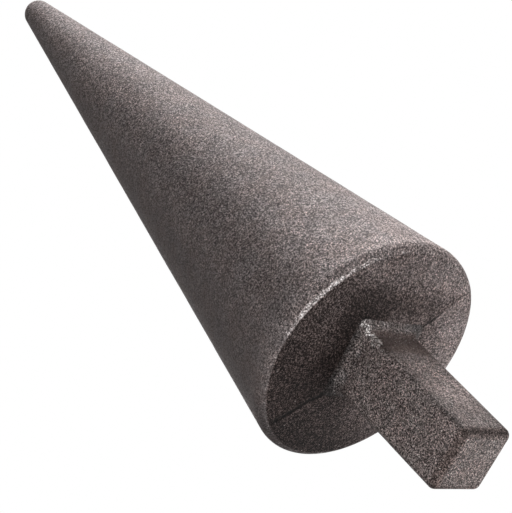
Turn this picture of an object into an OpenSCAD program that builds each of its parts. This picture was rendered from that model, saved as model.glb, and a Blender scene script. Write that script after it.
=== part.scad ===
// Cone mandrel for the square hardy hole of an anvil.
// The cone points up (+Z) and the shank hangs down (-Z).
// The origin is on the axis, level with the sharp rim that the rounding and the mould's draft take off.

/* [Cone] */
// diameter of the cone at its underside, before the rim is rounded
base_d = 93; // [80:1:110]
// height from the rim to the top of the rounded nose
cone_h = 262; // [200:1:320]
// radius of the ball-shaped nose
nose_r = 6.2; // [5:0.1:12]
// radius of the rounded rim
rim_r = 3.9; // [1.5:0.1:5]
// how far the underside bulges at its centre, below the rim
crown = 3; // [1:0.1:5]
// angle at which each half of the underside rises away from the mould's parting line, in degrees
draft_deg = 1.7; // [0.5:0.1:2.5]

/* [Shank] */
// width of the square shank across its flats, loose in a 25.4 mm hardy hole
shank_w = 25; // [22:0.1:25]
// length of the shank, from the rim's level to its end
shank_len = 59; // [40:1:80]
// radius of the shank's long edges and of the edges of its end
edge_r = 2.7; // [1:0.1:3]

/* [Root] */
// radius of the hollow fillet between the shank and the underside
fillet_r = 3.7; // [3:0.1:6]
// depth of the fillet ring's seat in the underside
ring_sink = 1.4; // [1.2:0.1:3]
// thickness of the fillet ring where it runs out on the shank
ring_lip = 0.4; // [0.3:0.05:0.8]
// depth of the square socket that holds the shank's tenon
tenon_len = 16; // [10:1:24]
// gap on each side between seated pieces
seat_gap = 0.05; // [0.02:0.01:0.1]

/* [Hidden] */
$fn = 96;
base_r = base_d / 2;
nose_z = cone_h - nose_r;
// angle between the cone's side and its axis, with the side touching the nose ball
side_deg = atan(base_r / nose_z) - asin(nose_r / sqrt(base_r * base_r + nose_z * nose_z));
// slope of the bulging underside, and the centre of the rim's rounding, which touches it and the side
crown_deg = atan(crown / base_r);
rim_k = rim_r / (1 + sin(crown_deg - side_deg));
rim_x = base_r - rim_k * (sin(crown_deg) + cos(side_deg));
rim_z = rim_k * (cos(crown_deg) - sin(side_deg));
// distance from the shank's axis to the centres of its rounded corners
core = shank_w / 2 - edge_r;
neck_w = shank_w - 2 * ring_lip;
// level of the fillet ring's outer edge, just proud of the underside at the shank's corners
root_z = crown * ((core * sqrt(2) + edge_r + fillet_r) / base_r - 1) - seat_gap;
// the parting plane runs through two opposite corners of the shank
parting_deg = 45;
iron = [0.27, 0.25, 0.25];

// square bar with rounded long edges, from z = 0 up
module rounded_bar(width, radius, height) {
    flat = width - 2 * radius;
    translate([-width / 2, -flat / 2, 0]) cube([width, flat, height]);
    translate([-flat / 2, -width / 2, 0]) cube([flat, width, height]);
    for (sx = [-1, 1], sy = [-1, 1])
        translate([sx * flat / 2, sy * flat / 2, 0]) cylinder(r = radius, h = height);
}

// half outline of the cone: bulging underside, rounded rim, straight side, ball nose
module cone_outline() {
    polygon([
        [0, -crown],
        [rim_x + rim_r * sin(crown_deg), rim_z - rim_r * cos(crown_deg)],
        [rim_x + rim_r * cos(side_deg), rim_z + rim_r * sin(side_deg)],
        [nose_r * cos(side_deg), nose_z + nose_r * sin(side_deg)],
        [0, cone_h - nose_r / 2]
    ]);
    translate([rim_x, rim_z]) circle(r = rim_r);
    intersection() {
        translate([0, nose_z]) circle(r = nose_r);
        translate([0, nose_z - nose_r]) square([nose_r, 2 * nose_r]);
    }
}

// what the mould's draft takes off the underside, one tilted half on each side of the parting line
module draft_cut() {
    reach = base_r + 5;
    for (side = [0, 180])
        rotate([0, 0, parting_deg + side])
            translate([0, 0, -crown])
                rotate([draft_deg, 0, 0])
                    intersection() {
                        rotate_extrude() polygon([[0, -20], [reach, -20], [reach, reach * tan(crown_deg)], [0, 0]]);
                        translate([-reach - 1, 0, -21]) cube([2 * reach + 2, reach + 1, 30]);
                    }
}

// section of the fillet, measured outwards from a corner centre of the shank and up from root_z
module cove_section(inner) {
    difference() {
        translate([inner, -fillet_r]) square([edge_r + fillet_r - inner, fillet_r + ring_sink]);
        translate([edge_r + fillet_r, -fillet_r]) circle(r = fillet_r);
    }
}

module cone_body() {
    color(iron)
    difference() {
        rotate_extrude() cone_outline();
        draft_cut();
        translate([0, 0, -crown - 1])
            rounded_bar(neck_w + 2 * seat_gap, edge_r - ring_lip + seat_gap, crown + 1 + tenon_len);
        translate([0, 0, -crown - 1])
            rounded_bar(shank_w + 2 * (fillet_r + seat_gap), edge_r + fillet_r + seat_gap,
                        root_z + ring_sink + crown + 1);
    }
}

module root_fillet() {
    inner = edge_r - ring_lip + seat_gap;
    color(iron)
    translate([0, 0, root_z])
    for (turn = [0:90:270])
        rotate([0, 0, turn]) {
            translate([core, 0, 0])
                rotate([90, 0, 0]) linear_extrude(height = 2 * core, center = true) cove_section(inner);
            translate([core, core, 0]) rotate_extrude(angle = 90) cove_section(inner);
        }
}

module hardy_shank() {
    color(iron) {
        // neck and tenon, inside the fillet ring and the socket
        translate([0, 0, root_z - fillet_r - 0.5])
            rounded_bar(neck_w, edge_r - ring_lip, fillet_r + 0.5 + tenon_len - root_z);
        translate([0, 0, edge_r - shank_len])
            rounded_bar(shank_w, edge_r, root_z + shank_len - edge_r - fillet_r);
        // rounded end
        translate([-core, -core, -shank_len]) cube([2 * core, 2 * core, 2 * edge_r]);
        for (turn = [0:90:270])
            rotate([0, 0, turn]) {
                translate([core, core, edge_r - shank_len]) rotate([90, 0, 0]) cylinder(r = edge_r, h = 2 * core);
                translate([core, core, edge_r - shank_len]) sphere(r = edge_r);
            }
    }
}

cone_body();
root_fillet();
hardy_shank();
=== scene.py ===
import math
import bpy
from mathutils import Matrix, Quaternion, Vector


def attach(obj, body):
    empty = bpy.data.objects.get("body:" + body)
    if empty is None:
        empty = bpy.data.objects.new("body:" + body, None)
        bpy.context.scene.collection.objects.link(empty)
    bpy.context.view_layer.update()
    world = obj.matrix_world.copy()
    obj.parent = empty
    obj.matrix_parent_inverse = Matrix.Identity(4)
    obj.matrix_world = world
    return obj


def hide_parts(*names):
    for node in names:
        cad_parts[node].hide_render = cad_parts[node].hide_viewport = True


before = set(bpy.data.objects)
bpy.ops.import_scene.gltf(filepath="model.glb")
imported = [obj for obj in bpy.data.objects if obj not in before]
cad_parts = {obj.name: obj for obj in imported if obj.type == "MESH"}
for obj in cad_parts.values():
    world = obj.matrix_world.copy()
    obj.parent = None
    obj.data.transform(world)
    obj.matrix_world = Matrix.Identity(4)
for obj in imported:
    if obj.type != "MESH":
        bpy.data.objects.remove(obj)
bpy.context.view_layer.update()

mm = 0.001
decimal, whole, arrow = "NodeSocketFloat", "NodeSocketInt", "NodeSocketVector"
shape, coating = "NodeSocketGeometry", "NodeSocketMaterial"


def node(tree, kind, **settings):
    made = tree.nodes.new(kind)
    for name, value in settings.items():
        setattr(made, name, value)
    return made


def feed(tree, socket, value):
    # a number, colour or material goes straight into the socket, and another socket gets a wire
    if isinstance(value, bpy.types.NodeSocket):
        tree.links.new(value, socket)
    else:
        socket.default_value = value


def calc(tree, operation, *parts):
    made = node(tree, "ShaderNodeMath", operation=operation)
    for socket, value in zip(made.inputs, parts):
        feed(tree, socket, value)
    return made.outputs[0]


def chain(tree, operation, first, *others):
    for other in others:
        first = calc(tree, operation, first, other)
    return first


def plus(tree, *parts):
    return chain(tree, "ADD", *parts)


def times(tree, *parts):
    return chain(tree, "MULTIPLY", *parts)


def largest(tree, *parts):
    return chain(tree, "MAXIMUM", *parts)


def minus(tree, a, b):
    return calc(tree, "SUBTRACT", a, b)


def rest(tree, share):
    # what a share leaves over
    return minus(tree, 1.0, share)


def absolute(tree, value):
    return calc(tree, "ABSOLUTE", value)


def between(tree, value, low, high, atLow=0.0, atHigh=1.0):
    # a soft step from atLow to atHigh while the value goes from low to high
    made = node(tree, "ShaderNodeMapRange", interpolation_type="SMOOTHSTEP")
    for label, part in (("Value", value), ("From Min", low), ("From Max", high),
                        ("To Min", atLow), ("To Max", atHigh)):
        feed(tree, made.inputs[label], part)
    return made.outputs["Result"]


def split(tree, vector):
    made = node(tree, "ShaderNodeSeparateXYZ")
    feed(tree, made.inputs[0], vector)
    return made.outputs


def join(tree, *parts):
    made = node(tree, "ShaderNodeCombineXYZ")
    for socket, value in zip(made.inputs, parts):
        feed(tree, socket, value)
    return made.outputs[0]


def measure(tree, operation, *vectors):
    # one number from one or two vectors
    made = node(tree, "ShaderNodeVectorMath", operation=operation)
    for socket, value in zip(made.inputs, vectors):
        feed(tree, socket, value)
    return made.outputs["Value"]


def noise(tree, place, scale, detail=2.0, roughness=0.5):
    made = node(tree, "ShaderNodeTexNoise")
    for label, value in (("Vector", place), ("Scale", scale), ("Detail", detail),
                         ("Roughness", roughness)):
        feed(tree, made.inputs[label], value)
    return made.outputs[0]


def cells(tree, place, scale):
    # grains packed side by side: two random numbers for each, and how far a point is from its middle
    made = node(tree, "ShaderNodeTexVoronoi")
    feed(tree, made.inputs["Vector"], place)
    feed(tree, made.inputs["Scale"], scale)
    lightness, luck = split(tree, made.outputs["Color"])[:2]
    return lightness, luck, made.outputs["Distance"]


def mixColour(tree, amount, first, second):
    made = node(tree, "ShaderNodeMix", data_type="RGBA")
    for index, value in ((0, amount), (6, first), (7, second)):
        feed(tree, made.inputs[index], value)
    return made.outputs[2]


def scaleVector(tree, vector, amount):
    made = node(tree, "ShaderNodeVectorMath", operation="SCALE")
    feed(tree, made.inputs[0], vector)
    feed(tree, made.inputs["Scale"], amount)
    return made.outputs[0]


def newTree(name, kind, inputs, outputs):
    # a node tree with named sockets, and what its inputs give and its outputs take
    tree = bpy.data.node_groups.new(name, kind)
    for label, socketKind, value in inputs:
        socket = tree.interface.new_socket(name=label, in_out="INPUT", socket_type=socketKind)
        if value is not None:
            socket.default_value = value
    for label, socketKind in outputs:
        tree.interface.new_socket(name=label, in_out="OUTPUT", socket_type=socketKind)
    return tree, node(tree, "NodeGroupInput").outputs, node(tree, "NodeGroupOutput").inputs


def useGroup(tree, group, values):
    made = node(tree, "ShaderNodeGroup", node_tree=group)
    for label, value in values.items():
        feed(tree, made.inputs[label], value)
    return made.outputs


# In the dictionaries below, a soft step is (from, to), or (from, to, value there, value there).

skin = {
    # lightness of a grain: its own and a slow drift, round their middle
    "ownPart": 0.8, "driftPart": 0.7, "driftFineness": 0.5, "middle": 0.75,
    "evening": 0.035,           # more contrast leaves the mean lightness as it is
    "lightest": 2.8,
    "dome": 0.5,                # how much a grain's roundness counts in its height
    "coolPatches": (0.36, 0.64), "coolFineness": 0.8,
    "runMiddle": 0.55, "runPart": 2.0, "wornThrough": (0.2, 0.75),      # broken edges
    "lineWander": 2.0 * mm, "wanderScale": 160.0, "lineCore": 0.2,      # parting line
    "glint": 0.4,               # how bare a glinting grain is
    "metal": 0.8, "bareRoughness": 0.42, "specular": 0.1,
}


# effects that the skins share
def sandGrainGroup():
    # sandy grain: each grain has its own lightness and stands up as a small dome, and a few glint
    tree, given, wanted = newTree(
        "Sand grain", "ShaderNodeTree",
        [("Position", arrow, None), ("Grain size", decimal, 0.5 * mm), ("Contrast", decimal, 1.0),
         ("Glint share", decimal, 0.02)],
        [("Shade", decimal), ("Height", decimal), ("Glint", decimal)])
    fineness = calc(tree, "DIVIDE", 1.0, given["Grain size"])
    lightness, luck, distance = cells(tree, given["Position"], fineness)
    drift = noise(tree, given["Position"], times(tree, fineness, skin["driftFineness"]), detail=1.0)
    mixed = plus(tree, times(tree, lightness, skin["ownPart"]), times(tree, drift, skin["driftPart"]))
    centred = times(tree, minus(tree, mixed, skin["middle"]), given["Contrast"])
    evened = times(tree, calc(tree, "POWER", given["Contrast"], 2.0), skin["evening"])
    shade = calc(tree, "EXPONENT", minus(tree, centred, evened))
    feed(tree, wanted["Shade"], calc(tree, "MINIMUM", shade, skin["lightest"]))
    feed(tree, wanted["Height"], plus(tree, times(tree, rest(tree, distance), skin["dome"]), mixed))
    feed(tree, wanted["Glint"], calc(tree, "LESS_THAN", luck, given["Glint share"]))
    return tree


def cloudGroup():
    # soft cloudy patches, lighter and darker, warmer and cooler
    tree, given, wanted = newTree(
        "Cloudy skin", "ShaderNodeTree",
        [("Position", arrow, None), ("Patch size", decimal, 9 * mm), ("Contrast", decimal, 0.5)],
        [("Shade", decimal), ("Coolness", decimal)])
    fineness = calc(tree, "DIVIDE", 1.0, given["Patch size"])
    patches = noise(tree, given["Position"], fineness, roughness=0.55)
    centred = times(tree, minus(tree, patches, 0.5), given["Contrast"])
    feed(tree, wanted["Shade"], plus(tree, centred, 1.0))
    drift = noise(tree, given["Position"], times(tree, fineness, skin["coolFineness"]),
                  detail=3.0, roughness=0.6)
    feed(tree, wanted["Coolness"], between(tree, drift, *skin["coolPatches"]))
    return tree


def brokenEdgeGroup():
    # an even band broken into specks and short runs
    tree, given, wanted = newTree(
        "Broken edge", "ShaderNodeTree",
        [("Position", arrow, None), ("Band", decimal, 0.0), ("Run length", decimal, 3 * mm),
         ("Speck size", decimal, 0.5 * mm), ("Brokenness", decimal, 0.5)],
        [("Mask", decimal)])
    runs = noise(tree, given["Position"], calc(tree, "DIVIDE", 1.0, given["Run length"]),
                 detail=3.0, roughness=0.6)
    speck = cells(tree, given["Position"], calc(tree, "DIVIDE", 1.0, given["Speck size"]))[0]
    gaps = plus(tree, times(tree, minus(tree, skin["runMiddle"], runs), skin["runPart"]), speck)
    kept = minus(tree, given["Band"], times(tree, gaps, given["Brokenness"]))
    feed(tree, wanted["Mask"], between(tree, kept, *skin["wornThrough"]))
    return tree


def partingLineGroup():
    # the seam where the mould's halves met, on the plane through X = Y
    tree, given, wanted = newTree(
        "Parting line", "ShaderNodeTree",
        [("Position", arrow, None), ("Width", decimal, 0.5 * mm)],
        [("Line", decimal)])
    x, y = split(tree, given["Position"])[:2]
    drift = minus(tree, noise(tree, given["Position"], skin["wanderScale"]), 0.5)
    off = times(tree, minus(tree, x, y), math.sqrt(0.5))
    away = absolute(tree, plus(tree, off, times(tree, drift, skin["lineWander"])))
    core = times(tree, given["Width"], skin["lineCore"])
    feed(tree, wanted["Line"], between(tree, away, core, given["Width"], 1.0, 0.0))
    return tree


sandGrain, cloudySkin = sandGrainGroup(), cloudGroup()
brokenEdge, partingLine = brokenEdgeGroup(), partingLineGroup()


def startSkin(name):
    mat = bpy.data.materials.new(name)
    mat.use_nodes = True
    return mat, mat.node_tree, node(mat.node_tree, "ShaderNodeTexCoord").outputs


def breakUp(tree, place, band, look, mark):
    # a band broken into the runs and specks that the dictionary gives for this mark
    return useGroup(tree, brokenEdge, {
        "Position": place, "Band": band, "Run length": look[mark + "Run"],
        "Speck size": look[mark + "Speck"], "Brokenness": look[mark + "Brokenness"]})["Mask"]


def finishSkin(tree, place, look, shade, bright, sootAndShadeBrown, roughening, relief=0.0):
    # shade darkens or lightens, and carries painted light and shade; bright is bare iron, from wear and
    # from painted highlights; the brown tint covers soot and painted shade
    grain = useGroup(tree, sandGrain, {
        "Position": place, "Grain size": look["grainSize"], "Glint share": look["glintShare"],
        "Contrast": times(tree, roughening, look["grainContrast"])})
    cloud = useGroup(tree, cloudySkin, {"Position": place, "Patch size": look["patchSize"],
                                        "Contrast": look["patchContrast"]})
    lumps = noise(tree, place, 1 / look["lumpSize"], detail=3.0, roughness=0.55)
    tone = mixColour(tree, sootAndShadeBrown, mixColour(tree, cloud["Coolness"], look["warm"], look["cool"]),
                     look["sootAndShadeBrown"])
    tone = scaleVector(tree, tone, times(tree, cloud["Shade"], shade))
    bare = largest(tree, bright, times(tree, grain["Glint"], skin["glint"]))
    tone = scaleVector(tree, mixColour(tree, bare, tone, look["bareIron"]), grain["Shade"])
    shader = tree.nodes["Principled BSDF"]
    feed(tree, shader.inputs["Base Color"], tone)
    feed(tree, shader.inputs["Metallic"], times(tree, bare, skin["metal"]))
    feed(tree, shader.inputs["Roughness"],
         between(tree, bare, 0.0, 1.0, look["roughness"], skin["bareRoughness"]))
    shader.inputs["Specular IOR Level"].default_value = skin["specular"]
    bump = node(tree, "ShaderNodeBump")
    bump.inputs["Strength"].default_value = 1.0
    bump.inputs["Distance"].default_value = 1.0
    feed(tree, bump.inputs["Height"],
         plus(tree, times(tree, grain["Height"], look["grainHeight"]),
              times(tree, lumps, look["lumpHeight"]), relief))
    feed(tree, shader.inputs["Normal"], bump.outputs[0])


body = {
    "baseRadius": 46.5 * mm,
    "height": 262 * mm,
    "noseRadius": 6.2 * mm,
    "rimRadius": 3.9 * mm,
    "crown": 3.0 * mm,              # how far the underside bulges
    "draft": 1.7,                   # degrees, each half of the underside
    "partingTurn": 45,              # degrees from +X
    "around": 240, "along": 400,    # columns and rows of faces
    "roundingSteps": 48,
    # share of the outline's length that each share of the rows reaches: most are on rim and nose
    "crowding": ((0, 0), (0.16, 0.132), (0.34, 0.165), (0.42, 0.22), (0.9, 0.962), (1, 1)),
    "draftEnds": (1.0, 4.0),        # the draft's lift fades out between these heights, in rim radii
    "slide": (0.75, 0.9),           # the rim slides with it from here out, in base radii
    "weld": 0.004 * mm,

    "grainSize": 0.35 * mm, "grainContrast": 2.9, "grainHeight": 0.06 * mm, "glintShare": 0.004,
    "patchSize": 9 * mm, "patchContrast": 0.5, "lumpSize": 3.5 * mm, "lumpHeight": 0.12 * mm,
    "warm": (0.293, 0.242, 0.233, 1), "cool": (0.281, 0.242, 0.238, 1),
    "sootAndShadeBrown": (0.240, 0.170, 0.155, 1), "bareIron": (0.60, 0.55, 0.54, 1), "roughness": 0.66,
    "roughnessAcross": (-0.4, 0.5, 0.58, 1.15),     # grain contrast, by how far a face looks to +X

    # the underside: its painted shade and light against the side, and how far it reaches up the rim
    "darkest": 0.44, "lightest": 1.67,
    "facesDown": (-0.965, -0.90, 1.0, 0.0),
    "ragged": 7 * mm, "raggedScale": 150.0,         # how uneven the borders below are
    "ridge": (-0.5 * mm, 0.5 * mm),                 # X minus Y, from the lower half to the upper
    # upper half: a painted light strip along +X, and a slow gain of painted light towards +Y
    "stripX": (21 * mm, 36 * mm), "stripY": (-5 * mm, 26 * mm, 0.65, 1.0),
    "gainY": (-10 * mm, 26 * mm, 0.0, 0.25),
    # lower half: two steps of painted light along the slant
    "slantX": 0.6,
    "firstStep": (-24 * mm, 4 * mm, 0.18, 0.5), "secondStep": (24 * mm, 42 * mm, 0.0, 0.4),
    # a lighter margin by the near rim, and a lighter foot beside the +X flat of the shank, both painted
    # light
    "marginX": (-2 * mm, 8 * mm, 0.1, 0.24), "marginY": (-30 * mm, -20 * mm),
    "footX": (10 * mm, 14 * mm), "footEndX": (18 * mm, 22 * mm, 0.35, 0.0),
    "footY": (-12 * mm, -3 * mm), "footEndY": (14 * mm, 19 * mm, 1.0, 0.0),
    # painted shade in the crease round the square root, and its darkest corner
    "creaseShade": (16 * mm, 21 * mm, 0.12, 0.0),
    "darkCorner": (17 * mm, -14 * mm, 0), "cornerReach": (9 * mm, 15 * mm, 0.32, 0.0),
    # brown tint in the painted shade and in the crease
    "brownInShade": 0.7, "brownInCreaseShade": 2.2,
    # the grain is coarsest where the underside is painted darkest, most of all on the lower half
    "lightSmoothed": 0.85, "lowerRough": (0.0, 8 * mm, 0.0, 0.7),

    # the side: painted light by the rim, more on faces towards +X, and a long band of painted shade on
    # faces one way, which turns to painted light towards the nose
    "litHeight": (12 * mm, 75 * mm, 0.36, 0.0), "litFaces": (0.1, 0.8),
    "litRim": (5 * mm, 12 * mm, 1.3, 1.0),
    "shadeToward": (0.407, -0.914, 0.0), "shadeFaces": (0.93, 0.99),
    "shadeHeight": (110 * mm, 190 * mm, 0.18, -0.12),
    # painted shade on the -X side of the rim
    "rimShadeX": (-44 * mm, -20 * mm, 0.55, 0.0), "rimShadeFaces": (-0.7, -0.1, 1.0, 0.0),

    # the seam's width and depth along X plus Y, and where it fades out
    "seamWidth": (-10 * mm, 10 * mm, 1.5 * mm, 0.8 * mm),
    "seamDepth": (-10 * mm, 10 * mm, 0.0, 0.95),
    "seamEnd": (38 * mm, 50 * mm, 1.0, 0.0), "seamFaces": (-0.99, -0.9, 0.93, 0.0),
    "seamRelief": -0.3 * mm,
    "pitScale": 420.0, "pits": (0.42, 0.56, 0.75, 1.0),

    # the rubbed inner edge of the rim, bare and bright, brightest one way as a painted highlight
    "wornAndLitToward": (0.545, -0.84, 0.0),
    "wornAndLitReach": (0.80, 0.95, 0.5, 1.2),            # in base radii that way
    "wornBelow": (-0.84, -0.50, 1.0, 0.0), "wornAbove": (-0.965, -0.90),
    "wornRun": 3 * mm, "wornSpeck": 0.5 * mm, "wornBrokenness": 0.88, "wornAndLitBrightness": 0.8,
}


def paintedUndersideShadingGroup():
    # painted light and shade on the underside: painted dark over all of it but the part towards +X and
    # +Y, with painted shade in the crease round the root, tinted brown where it is darkest
    tree, given, wanted = newTree(
        "Painted underside shading", "ShaderNodeTree",
        [("Position", arrow, None), ("Darkest", decimal, 0.4), ("Lightest", decimal, 1.3)],
        [("Shade", decimal), ("Shade brown", decimal), ("Lightness", decimal)])
    x, y = split(tree, given["Position"])[:2]
    haze = noise(tree, given["Position"], body["raggedScale"])
    haze = times(tree, minus(tree, haze, 0.5), body["ragged"])
    strip = times(tree, between(tree, plus(tree, x, haze), *body["stripX"]),
                  between(tree, y, *body["stripY"]))
    gain = between(tree, y, *body["gainY"])
    upper = plus(tree, gain, times(tree, strip, rest(tree, gain)))
    slant = plus(tree, times(tree, x, body["slantX"]), y, haze)
    lower = plus(tree, between(tree, slant, *body["firstStep"]),
                 between(tree, slant, *body["secondStep"]))
    side = between(tree, minus(tree, x, y), *body["ridge"])
    lightness = plus(tree, times(tree, upper, side), times(tree, lower, rest(tree, side)))
    margin = between(tree, y, *body["marginY"], between(tree, x, *body["marginX"]), 0.0)
    foot = times(tree, between(tree, x, *body["footEndX"]), between(tree, y, *body["footY"]),
                 between(tree, y, *body["footEndY"]), side, between(tree, x, *body["footX"]))
    lightness = largest(tree, lightness, margin, foot)
    feed(tree, wanted["Lightness"], lightness)
    span = minus(tree, given["Lightest"], given["Darkest"])
    shade = plus(tree, given["Darkest"], times(tree, lightness, span))
    square = largest(tree, absolute(tree, x), absolute(tree, y))
    apart = measure(tree, "DISTANCE", given["Position"], body["darkCorner"])
    creaseShade = largest(tree, between(tree, square, *body["creaseShade"]),
                     between(tree, apart, *body["cornerReach"]))
    feed(tree, wanted["Shade"], times(tree, shade, rest(tree, creaseShade)))
    feed(tree, wanted["Shade brown"], largest(tree, times(tree, rest(tree, lightness), body["brownInShade"]),
                                       times(tree, creaseShade, body["brownInCreaseShade"])))
    return tree


def coneSkin():
    mat, tree, place = startSkin("coneSkin")
    spot = place["Object"]
    x, y, z = split(tree, spot)
    nx, ny, nz = split(tree, place["Normal"])
    under = between(tree, nz, *body["facesDown"])
    # the underside's colour carries painted light and shade
    undersideShading = useGroup(tree, paintedUndersideShadingGroup(), {"Position": spot, "Darkest": body["darkest"],
                                            "Lightest": body["lightest"]})
    # painted light and shade on the side
    paintedLight = times(tree, between(tree, z, *body["litHeight"]), between(tree, nx, *body["litFaces"]))
    paintedLight = plus(tree, paintedLight, between(tree, z, *body["litRim"]))
    faced = measure(tree, "DOT_PRODUCT", place["Normal"], body["shadeToward"])
    paintedShade = times(tree, between(tree, faced, *body["shadeFaces"]), between(tree, z, *body["shadeHeight"]))
    shade = plus(tree, times(tree, undersideShading["Shade"], under),
                 times(tree, minus(tree, paintedLight, paintedShade), rest(tree, under)))

    # the seam across the underside is deep on one side of the root and only shallow pits on the other
    along = plus(tree, x, y)
    seam = useGroup(tree, partingLine, {"Position": spot,
                                        "Width": between(tree, along, *body["seamWidth"])})
    pitted = between(tree, noise(tree, spot, body["pitScale"], roughness=0.6), *body["pits"])
    depth = largest(tree, pitted, between(tree, along, *body["seamDepth"]))
    groove = times(tree, seam["Line"], depth, between(tree, nz, *body["seamFaces"]),
                   between(tree, along, *body["seamEnd"]))
    # painted shade on the -X side of the rim
    soot = times(tree, between(tree, x, *body["rimShadeX"]), between(tree, nz, *body["rimShadeFaces"]))
    shade = times(tree, shade, rest(tree, groove), rest(tree, soot))

    coarse = plus(tree, rest(tree, times(tree, undersideShading["Lightness"], body["lightSmoothed"])),
                  times(tree, between(tree, minus(tree, y, x), *body["lowerRough"]),
                        rest(tree, undersideShading["Lightness"])))
    roughening = plus(tree, between(tree, nx, *body["roughnessAcross"]), times(tree, under, coarse))

    # the inner edge of the rounded rim is rubbed bare, most on one side, where it is also a painted
    # highlight
    band = times(tree, between(tree, nz, *body["wornBelow"]), between(tree, nz, *body["wornAbove"]))
    near, far, least, most = body["wornAndLitReach"]
    facing = between(tree, measure(tree, "DOT_PRODUCT", spot, body["wornAndLitToward"]),
                     body["baseRadius"] * near, body["baseRadius"] * far, least, most)
    wearAndHighlight = breakUp(tree, spot, times(tree, band, facing), body, "worn")
    finishSkin(tree, spot, body, shade, times(tree, wearAndHighlight, body["wornAndLitBrightness"]),
               times(tree, undersideShading["Shade brown"], under), roughening, times(tree, groove, body["seamRelief"]))
    return mat


coneInputs = [
    ("Base radius", decimal, body["baseRadius"]), ("Height", decimal, body["height"]),
    ("Nose radius", decimal, body["noseRadius"]), ("Rim radius", decimal, body["rimRadius"]),
    ("Crown", decimal, body["crown"]), ("Draft", decimal, math.radians(body["draft"])),
    ("Parting turn", decimal, math.radians(body["partingTurn"])),
    ("Around", whole, body["around"]), ("Along", whole, body["along"]),
]


def coneTree():
    tree, given, wanted = newTree("Cone from its outline", "GeometryNodeTree",
                                  coneInputs + [("Material", coating, None)], [("Geometry", shape)])
    base, rim = given["Base radius"], given["Rim radius"]
    # angle of the side from the axis, with the side touching the nose ball
    noseZ = minus(tree, given["Height"], given["Nose radius"])
    reach = calc(tree, "SQRT", plus(tree, calc(tree, "POWER", base, 2.0),
                                    calc(tree, "POWER", noseZ, 2.0)))
    lean = minus(tree, calc(tree, "ARCTAN2", base, noseZ),
                 calc(tree, "ARCSINE", calc(tree, "DIVIDE", given["Nose radius"], reach)))
    apex = plus(tree, noseZ, calc(tree, "DIVIDE", given["Nose radius"], calc(tree, "SINE", lean)))

    # the outline is a kite with rounded side corners and a rounded tip, of which the right half is used
    kite = node(tree, "GeometryNodeCurvePrimitiveQuadrilateral", mode="POINTS")
    corners = ((0.0, times(tree, given["Crown"], -1.0)), (base, 0.0), (0.0, apex),
               (times(tree, base, -1.0), 0.0))
    for number, (across, up) in enumerate(corners, 1):
        feed(tree, kite.inputs["Point %d" % number], join(tree, across, up))
    index = node(tree, "GeometryNodeInputIndex").outputs[0]
    atRim = calc(tree, "MODULO", index, 2.0)            # corners 1 and 3
    atNose = calc(tree, "COMPARE", index, 2.0, 0.1)     # corner 2
    rounding = node(tree, "GeometryNodeFilletCurve", mode="POLY")
    feed(tree, rounding.inputs["Curve"], kite.outputs["Curve"])
    rounding.inputs["Count"].default_value = body["roundingSteps"]
    feed(tree, rounding.inputs["Radius"],
         plus(tree, times(tree, atRim, rim), times(tree, atNose, given["Nose radius"])))

    # a sheet of rows and columns, a metre square about the origin, wrapped round the axis
    sheet = node(tree, "GeometryNodeMeshGrid")
    sheet.inputs["Size X"].default_value = 1.0
    sheet.inputs["Size Y"].default_value = 1.0
    feed(tree, sheet.inputs["Vertices X"], plus(tree, given["Around"], 1.0))
    feed(tree, sheet.inputs["Vertices Y"], plus(tree, given["Along"], 1.0))
    column, row = split(tree, node(tree, "GeometryNodeInputPosition").outputs[0])[:2]
    crowd = node(tree, "ShaderNodeFloatCurve")
    curve = crowd.mapping.curves[0]
    for extra in body["crowding"][2:]:
        curve.points.new(*extra)
    for point, spot in zip(curve.points, body["crowding"]):
        point.location = spot
        point.handle_type = "VECTOR"
    crowd.mapping.update()
    feed(tree, crowd.inputs["Value"], plus(tree, row, 0.5))
    sample = node(tree, "GeometryNodeSampleCurve", mode="FACTOR")
    feed(tree, sample.inputs["Curves"], rounding.outputs["Curve"])
    feed(tree, sample.inputs["Factor"], times(tree, crowd.outputs[0], 0.5))
    across, up = split(tree, sample.outputs["Position"])[:2]
    radius = largest(tree, across, 0.0)

    # the draft lifts each half of the underside, and the rim slides up along the side with it
    turn = times(tree, plus(tree, column, 0.5), math.tau)
    away = absolute(tree, calc(tree, "SINE", minus(tree, turn, given["Parting turn"])))
    low, high = (times(tree, rim, share) for share in body["draftEnds"])
    rise = times(tree, radius, away, calc(tree, "TANGENT", given["Draft"]),
                 between(tree, up, low, high, 1.0, 0.0))
    inner, outer = (times(tree, base, share) for share in body["slide"])
    inward = times(tree, rise, calc(tree, "TANGENT", lean), between(tree, radius, inner, outer))
    radius = minus(tree, radius, inward)
    put = node(tree, "GeometryNodeSetPosition")
    feed(tree, put.inputs["Geometry"], sheet.outputs["Mesh"])
    feed(tree, put.inputs["Position"],
         join(tree, times(tree, radius, calc(tree, "COSINE", turn)),
              times(tree, radius, calc(tree, "SINE", turn)), plus(tree, up, rise)))
    weld = node(tree, "GeometryNodeMergeByDistance")
    weld.inputs["Distance"].default_value = body["weld"]
    feed(tree, weld.inputs["Geometry"], put.outputs["Geometry"])
    finishTree(tree, weld.outputs["Geometry"], given["Material"], wanted["Geometry"])
    return tree


def finishTree(tree, geometry, material, wanted):
    smooth = node(tree, "GeometryNodeSetShadeSmooth")
    feed(tree, smooth.inputs["Geometry"], geometry)
    real = node(tree, "GeometryNodeRealizeInstances")
    feed(tree, real.inputs["Geometry"], smooth.outputs["Geometry"])
    coat = node(tree, "GeometryNodeSetMaterial")
    feed(tree, coat.inputs["Geometry"], real.outputs["Geometry"])
    feed(tree, coat.inputs["Material"], material)
    feed(tree, wanted, coat.outputs["Geometry"])


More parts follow.
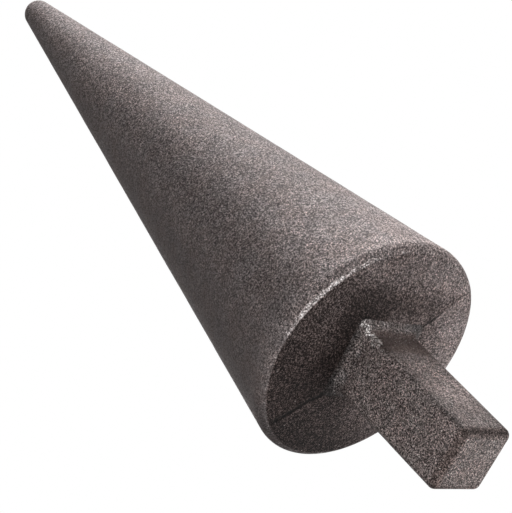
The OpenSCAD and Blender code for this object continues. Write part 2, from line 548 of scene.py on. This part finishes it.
def runTree(name, start, tree, values):
    # runs a geometry tree on a mesh and keeps the result as a plain mesh
    seed = bpy.data.objects.new(name + "Seed", start)
    bpy.context.scene.collection.objects.link(seed)
    modifier = seed.modifiers.new("shape", "NODES")
    modifier.node_group = tree
    for item in tree.interface.items_tree:
        if item.item_type == "SOCKET" and item.in_out == "INPUT" and item.name in values:
            modifier[item.identifier] = values[item.name]
    seed.update_tag()
    bpy.context.view_layer.update()
    mesh = bpy.data.meshes.new_from_object(seed.evaluated_get(bpy.context.evaluated_depsgraph_get()))
    bpy.data.objects.remove(seed)
    bpy.data.meshes.remove(start)
    mesh.name = name
    return mesh


casting = {"depth": 0.25 * mm, "waveLength": 20 * mm}


def unevenTree():
    # the casting's slight waviness, the same on all the pieces
    tree, given, wanted = newTree(
        "Uneven casting", "GeometryNodeTree",
        [("Geometry", shape, None), ("Depth", decimal, casting["depth"]),
         ("Wave length", decimal, casting["waveLength"]), ("Material", coating, None)],
        [("Geometry", shape)])
    spot = node(tree, "GeometryNodeInputPosition").outputs[0]
    waves = noise(tree, spot, calc(tree, "DIVIDE", 1.0, given["Wave length"]),
                  detail=3.0, roughness=0.55)
    swell = times(tree, minus(tree, 0.5, waves), given["Depth"])
    put = node(tree, "GeometryNodeSetPosition")
    feed(tree, put.inputs["Geometry"], given["Geometry"])
    feed(tree, put.inputs["Offset"],
         scaleVector(tree, node(tree, "GeometryNodeInputNormal").outputs[0], swell))
    finishTree(tree, put.outputs["Geometry"], given["Material"], wanted["Geometry"])
    return tree


uneven = unevenTree()


def castPiece(name, mesh, material):
    mesh = runTree(name, mesh, uneven, {"Depth": casting["depth"], "Wave length": casting["waveLength"],
                                        "Material": material})
    piece = bpy.data.objects.new(name, mesh)
    bpy.context.scene.collection.objects.link(piece)
    print(name, len(mesh.polygons), "faces")
    return piece


coneMaterial = coneSkin()
coneValues = {label: value for label, kind, value in coneInputs}
coneValues["Material"] = coneMaterial
coneMesh = runTree("coneShape", bpy.data.meshes.new("coneStart"), coneTree(), coneValues)
cone = castPiece("castCone", coneMesh, coneMaterial)

shank = {
    "width": 25 * mm,
    "length": 58.9 * mm,
    "edge": 2.7 * mm,
    "top": -1 * mm,             # its hidden upper end
    "endRings": 12,             # rings on the flat of the end, and where the first one is
    "endStart": 0.3,
    "edgeSteps": 12,
    "cornerSteps": 12, "flatSteps": 24, "rows": 90,
    "tight": 0.1 * mm,          # corner radius of the rings on the flat of the end

    "grainSize": 0.30 * mm, "grainContrast": 4.3, "grainHeight": 0.08 * mm, "glintShare": 0.03,
    "patchSize": 7 * mm, "patchContrast": 0.6, "lumpSize": 2.6 * mm, "lumpHeight": 0.16 * mm,
    "warm": (0.385, 0.311, 0.296, 1), "cool": (0.368, 0.311, 0.298, 1),
    "sootAndShadeBrown": (0.210, 0.155, 0.140, 1), "bareIron": (0.80, 0.74, 0.71, 1), "roughness": 0.64,

    # soot along the edges of the end, inwards and upwards from them, and painted shade, tinted brown,
    # on +X up by the root
    "endSootIn": (-4.4 * mm, -1.4 * mm), "endSootUp": (2.0 * mm, 4.5 * mm, 1.0, 0.0),
    "rootShadeUp": (-22 * mm, -10 * mm), "rootShadeFaces": (0.2, 0.8),
    "sootRun": 6 * mm, "sootSpeck": 0.5 * mm, "sootBrokenness": 0.3, "sootAndShadeStrength": 0.75,
    "smoothed": 0.55,                               # the grain is weaker where soot and painted shade lie by the root
    # painted light: the +X flat is lightest in its middle
    "flatUp": (-50 * mm, -20 * mm, 0.68, 1.6), "flatTop": (-26 * mm, -10 * mm, 1.0, 0.45),
    "flatAcross": (5 * mm, 10.5 * mm, 1.0, 0.72), "flatFaces": (0.2, 0.9),
    "endShade": (-0.95, -0.6, 1.36, 1.0),           # the end is lighter
    "edgeFaces": (0.75, 0.99), "edgeShade": (-0.1, 0.3, 0.92, 0.66),    # the long edges are darker
    "topShade": (-13 * mm, -6 * mm, 1.0, 0.72),
    # a painted highlight on the edges away from the parting line by the root, made as bright bare iron
    "highlightAcross": (21.6 * mm, 23.2 * mm), "highlightUp": (-13.5 * mm, -7.5 * mm, 0.0, 1.15),
    "rubRun": 3 * mm, "rubSpeck": 0.55 * mm, "rubBrokenness": 1.0, "highlightBrightness": 0.6,
}


def shankSkin():
    mat, tree, place = startSkin("shankSkin")
    spot = place["Object"]
    x, y, z = split(tree, spot)
    nx, ny, nz = split(tree, place["Normal"])
    square = largest(tree, absolute(tree, x), absolute(tree, y))
    fromEdge = minus(tree, square, shank["width"] / 2)
    fromEnd = plus(tree, z, shank["length"])
    endBand = times(tree, between(tree, fromEdge, *shank["endSootIn"]),
                    between(tree, fromEnd, *shank["endSootUp"]))
    # painted shade, tinted brown, on +X up by the root
    rootShade = times(tree, between(tree, z, *shank["rootShadeUp"]),
                     between(tree, nx, *shank["rootShadeFaces"]))
    soot = breakUp(tree, spot, largest(tree, endBand, rootShade), shank, "soot")
    # painted light and shade on the flats and the end
    flat = times(tree, between(tree, z, *shank["flatUp"]), between(tree, z, *shank["flatTop"]),
                 between(tree, absolute(tree, y), *shank["flatAcross"]))
    shade = plus(tree, 1.0, times(tree, minus(tree, flat, 1.0), between(tree, nx, *shank["flatFaces"])))
    flatness = largest(tree, absolute(tree, nx), absolute(tree, ny), absolute(tree, nz))
    edgeShade = between(tree, nx, *shank["edgeShade"])
    shade = times(tree, shade, between(tree, nz, *shank["endShade"]),
                  between(tree, flatness, *shank["edgeFaces"], edgeShade, 1.0),
                  between(tree, z, *shank["topShade"]))
    # a painted highlight on the near edge by the root, made as bright bare iron
    edges = times(tree, between(tree, minus(tree, x, y), *shank["highlightAcross"]),
                  between(tree, z, *shank["highlightUp"]))
    rub = breakUp(tree, spot, edges, shank, "rub")
    finishSkin(tree, spot, shank, shade, times(tree, rub, shank["highlightBrightness"]),
               times(tree, soot, shank["sootAndShadeStrength"]),
               rest(tree, times(tree, rootShade, shank["smoothed"])))
    return mat


def squareRing(half, corner):
    # points round a square with rounded corners, anticlockwise from the lower end of its +X side
    ring = []
    core = half - corner
    for quarter in range(4):
        start = quarter * math.pi / 2
        c, s = math.cos(start), math.sin(start)
        for step in range(shank["flatSteps"]):
            y = -core + 2 * core * step / shank["flatSteps"]
            ring.append((half * c - y * s, half * s + y * c))
        for step in range(shank["cornerSteps"]):
            turn = start + math.pi / 2 * step / shank["cornerSteps"]
            ring.append((core * (c - s) + corner * math.cos(turn),
                         core * (s + c) + corner * math.sin(turn)))
    return ring


def loft(name, rings, closed):
    # skins a stack of rings: a closed stack is a ring-shaped piece, an open one is capped at both ends
    count, total = len(rings[0]), len(rings)
    faces = []
    for level in range(total if closed else total - 1):
        low, high = level * count, (level + 1) % total * count
        for i in range(count):
            j = (i + 1) % count
            faces.append((low + i, low + j, high + j, high + i))
    if not closed:
        faces += [tuple(reversed(range(count))), tuple(range((total - 1) * count, total * count))]
    mesh = bpy.data.meshes.new(name)
    mesh.from_pydata([point for ring in rings for point in ring], [], faces)
    mesh.shade_smooth()
    return mesh


def shankMesh():
    half, edge, tight = shank["width"] / 2, shank["edge"], shank["tight"]
    endZ = -shank["length"]
    rings = []
    for level in range(shank["endRings"]):          # the flat of the end, from its middle out
        part = (level + shank["endStart"]) / shank["endRings"]
        rings.append([(x * part, y * part, endZ) for x, y in squareRing(half - edge, tight)])
    for level in range(shank["edgeSteps"] + 1):     # its rounded edge
        turn = math.pi / 2 * level / shank["edgeSteps"]
        ring = squareRing(half - edge + edge * math.sin(turn), tight + (edge - tight) * math.sin(turn))
        rings.append([(x, y, endZ + edge - edge * math.cos(turn)) for x, y in ring])
    low, high = endZ + edge, shank["top"]
    for level in range(1, shank["rows"] + 1):
        z = low + (high - low) * level / shank["rows"]
        rings.append([(x, y, z) for x, y in squareRing(half, edge)])
    return loft("shankShape", rings, False)


bar = castPiece("squareShank", shankMesh(), shankSkin())

root = {
    "filletRadius": 3.7 * mm,
    "outerCorner": 3.0 * mm,    # plan radius of the fillet's outer corners
    "steps": 20,
    # the rest of the ring is hidden: how far it goes up into the cone and in behind the flats
    "sink": 1.2 * mm, "inset": 1 * mm,
    "foot": (0.3 * mm, 0.15 * mm), "top": 0.1 * mm,     # its outer side: out past the fillet, and up
    "leastCorner": 1.2 * mm, "mostCornerGain": 0.6 * mm,

    "grainSize": 0.30 * mm, "grainContrast": 4.4, "grainHeight": 0.08 * mm, "glintShare": 0.03,
    "patchSize": 6 * mm, "patchContrast": 0.6, "lumpSize": 2.6 * mm, "lumpHeight": 0.14 * mm,
    "warm": (0.316, 0.262, 0.250, 1), "cool": (0.298, 0.268, 0.264, 1),
    "sootAndShadeBrown": (0.220, 0.160, 0.144, 1), "bareIron": (0.85, 0.79, 0.76, 1), "roughness": 0.64,

    # painted light and shade by which way a face looks: lightness of its outer edge, darker on the -Y
    # side, and what the inner part adds or takes away
    "outside": 0.95, "insideLeft": 0.12, "insideRight": 0.3,
    "outerFaces": (-1.0, -0.75, 0.5, 1.0),
    "rightFaces": (0.6, 1.0), "leftFaces": (-0.85, -0.15, 1.0, 0.0), "rightSide": (-2 * mm, 2 * mm),
    "rightShadeBrown": 0.8, "smoothed": 0.5,
    "seamWidth": 0.5 * mm, "seamShade": 0.25,
    "darkCorners": (21 * mm, 27 * mm, 1.0, 0.55),   # the corners on the parting line
    # a painted highlight on the other corners, made as bright bare iron: X minus Y, and X plus Y
    "highlightOut": (20.5 * mm, 23.6 * mm, 0.0, 1.1),
    "highlightFrom": (-2.6 * mm, -0.2 * mm), "highlightTo": (1.6 * mm, 4.2 * mm, 1.0, 0.0),
    "rubRun": 3 * mm, "rubSpeck": 0.55 * mm, "rubBrokenness": 1.0, "highlightBrightness": 0.8,
}


def rootSkin():
    mat, tree, place = startSkin("rootSkin")
    spot = place["Object"]
    x, y = split(tree, spot)[:2]
    nx, ny, nz = split(tree, place["Normal"])
    across, along = minus(tree, x, y), plus(tree, x, y)
    seam = useGroup(tree, partingLine, {"Position": spot, "Width": root["seamWidth"]})
    # painted light and shade: the +X side is grey outside and painted dark and brown inside, the -Y
    # side painted dark outside and grey inside
    right, left = between(tree, nx, *root["rightFaces"]), between(tree, ny, *root["leftFaces"])
    rightSide = between(tree, along, *root["rightSide"])
    outer = times(tree, between(tree, nz, *root["outerFaces"]), root["outside"])
    outer = plus(tree, times(tree, outer, rest(tree, rightSide)),
                 times(tree, rightSide, root["outside"]))
    shade = minus(tree, plus(tree, outer, times(tree, left, root["insideLeft"])),
                  times(tree, right, root["insideRight"]))
    shade = times(tree, shade, rest(tree, times(tree, seam["Line"], root["seamShade"])),
                  between(tree, absolute(tree, along), *root["darkCorners"]))
    corner = times(tree, between(tree, across, *root["highlightOut"]), between(tree, along, *root["highlightFrom"]),
                   between(tree, along, *root["highlightTo"]))
    rub = breakUp(tree, spot, corner, root, "rub")
    finishSkin(tree, spot, root, shade, times(tree, rub, root["highlightBrightness"]),
               times(tree, right, root["rightShadeBrown"]), rest(tree, times(tree, right, root["smoothed"])))
    return mat


def undersideHeight(x, y):
    away = abs(x - y) / math.sqrt(2)
    rise = math.tan(math.radians(body["draft"])) * away
    return rise - body["crown"] * (1 - math.hypot(x, y) / body["baseRadius"])


def rootMesh():
    half, edge, radius = shank["width"] / 2, shank["edge"], root["filletRadius"]
    rings = []
    for level in range(root["steps"] + 1):
        turn = math.pi / 2 * level / root["steps"]
        out, drop = radius * (1 - math.cos(turn)), radius * (1 - math.sin(turn))
        ring = squareRing(half + out, edge + (root["outerCorner"] - edge) * out / radius)
        rings.append([(x, y, undersideHeight(x, y) - drop) for x, y in ring])
    sink, inset = root["sink"], root["inset"]
    footOut, footUp = root["foot"]
    for out, up in ((radius + footOut, footUp), (radius + root["top"], sink), (-inset, sink),
                    (-inset, -radius)):
        ring = squareRing(half + out, max(root["leastCorner"], edge + min(out, root["mostCornerGain"])))
        rings.append([(x, y, undersideHeight(x, y) + up) for x, y in ring])
    return loft("rootShape", rings, True)


fillet = castPiece("rootFillet", rootMesh(), rootSkin())

for piece, nodeName, slotName in ((cone, "cone_body", "cone_iron"),
                                  (fillet, "root_fillet", "root_iron"),
                                  (bar, "hardy_shank", "shank_iron")):
    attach(piece, "root")
    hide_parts(nodeName)

studio = {
    "floorHalf": 2.5,
    "floorZ": -59.3 * mm,
    "floorPaint": (0.8, 0.8, 0.8, 1), "floorRoughness": 0.9,
    "fade": (0.45, 1.5),        # metres from the middle over which it turns into the room's white
    "white": (1, 1, 1, 1),
    "ambient": 0.05,            # what the white room adds to the object
    "cameraPlace": (0.23622, -0.4644, -0.36209),
    "cameraTurn": (0.421255, 0.735799, 0.526801, -0.060207),
    "lens": 126.5625, "sensor": 36, "nearest": 0.01, "farthest": 50,
    # name, place, aim, width of the disk, watts
    "lamps": (
        ("key", (0.79, 0.41, 0.90), (0, 0, 0.1), 0.30, 12.5),
        ("topSoft", (0.43, 0.19, 1.20), (0, 0, 0.1), 0.35, 3.6),
        ("sideFill", (2.81, -1.30, -0.21), (0, 0, 0.1), 1.56, 21.0),
        ("frontFill", (1.30, -2.68, -0.68), (0, 0, 0.1), 1.56, 8.5),
        ("lowKicker", (0.40, 0.38, -0.96), (0, 0, 0.1), 0.25, 1.5),
        ("lowRight", (0, 0.09, -0.09), (0, 0, -0.02), 0.06, 0.041),
        ("lowLeft", (0, -0.09, -0.09), (0, 0, -0.02), 0.06, 0.014),
        ("backFill", (-0.48, 0.84, 0.80), (0, 0, 0.1), 0.6, 5.0),
    ),
}


def mixShaders(tree, amount, first, second):
    made = node(tree, "ShaderNodeMixShader")
    for socket, value in zip(made.inputs, (amount, first, second)):
        feed(tree, socket, value)
    return made.outputs[0]


def floorPaint():
    paint = bpy.data.materials.new("palePaint")
    paint.use_nodes = True
    paint.cycles.emission_sampling = "NONE"
    tree = paint.node_tree
    matt = tree.nodes["Principled BSDF"]
    matt.inputs["Base Color"].default_value = studio["floorPaint"]
    matt.inputs["Roughness"].default_value = studio["floorRoughness"]
    white = node(tree, "ShaderNodeEmission")
    white.inputs["Color"].default_value = studio["white"]
    spread = measure(tree, "LENGTH", node(tree, "ShaderNodeTexCoord").outputs["Object"])
    faded = mixShaders(tree, between(tree, spread, *studio["fade"]), matt.outputs[0], white.outputs[0])
    # from below and for shadows the floor is clear, so the camera and the low lamps look through it
    through = largest(tree, node(tree, "ShaderNodeNewGeometry").outputs["Backfacing"],
                      node(tree, "ShaderNodeLightPath").outputs["Is Shadow Ray"])
    clear = node(tree, "ShaderNodeBsdfTransparent").outputs[0]
    feed(tree, tree.nodes["Material Output"].inputs[0], mixShaders(tree, through, faded, clear))
    return paint


floorMesh = bpy.data.meshes.new("floor")
reach, level = studio["floorHalf"], studio["floorZ"]
floorMesh.from_pydata([(-reach, -reach, level), (reach, -reach, level), (reach, reach, level),
                       (-reach, reach, level)], [], [(0, 1, 2, 3)])
floorMesh.materials.append(floorPaint())
floor = bpy.data.objects.new("floor", floorMesh)
bpy.context.scene.collection.objects.link(floor)
floor.visible_diffuse = False       # no light bounces up on to the underside
floor.visible_glossy = False

for name, place, aim, width, power in studio["lamps"]:
    light = bpy.data.lights.new(name, "AREA")
    light.shape = "DISK"
    light.size = width
    light.energy = power
    lamp = bpy.data.objects.new(name, light)
    lamp.location = place
    lamp.rotation_mode = "QUATERNION"
    lamp.rotation_quaternion = (Vector(place) - Vector(aim)).to_track_quat("Z", "Y")
    lamp.visible_camera = False
    bpy.context.scene.collection.objects.link(lamp)
print("studio with", len(studio["lamps"]), "lamps")

world = bpy.data.worlds.new("whiteRoom")
bpy.context.scene.world = world
world.use_nodes = True
tree = world.node_tree
path = node(tree, "ShaderNodeLightPath").outputs
seen = largest(tree, path["Is Camera Ray"], path["Is Glossy Ray"], path["Is Transmission Ray"])
background = tree.nodes["Background"]
background.inputs[0].default_value = studio["white"]
feed(tree, background.inputs[1], largest(tree, seen, studio["ambient"]))

lens = bpy.data.cameras.new("camera")
lens.lens = studio["lens"]
lens.sensor_width = studio["sensor"]
lens.sensor_fit = "HORIZONTAL"
lens.clip_start = studio["nearest"]
lens.clip_end = studio["farthest"]
camera = bpy.data.objects.new("camera", lens)
camera.location = studio["cameraPlace"]
camera.rotation_mode = "QUATERNION"
camera.rotation_quaternion = Quaternion(studio["cameraTurn"])
bpy.context.scene.collection.objects.link(camera)
bpy.context.scene.camera = camera
bpy.context.scene.view_settings.view_transform = "Standard"
print("camera and white room")
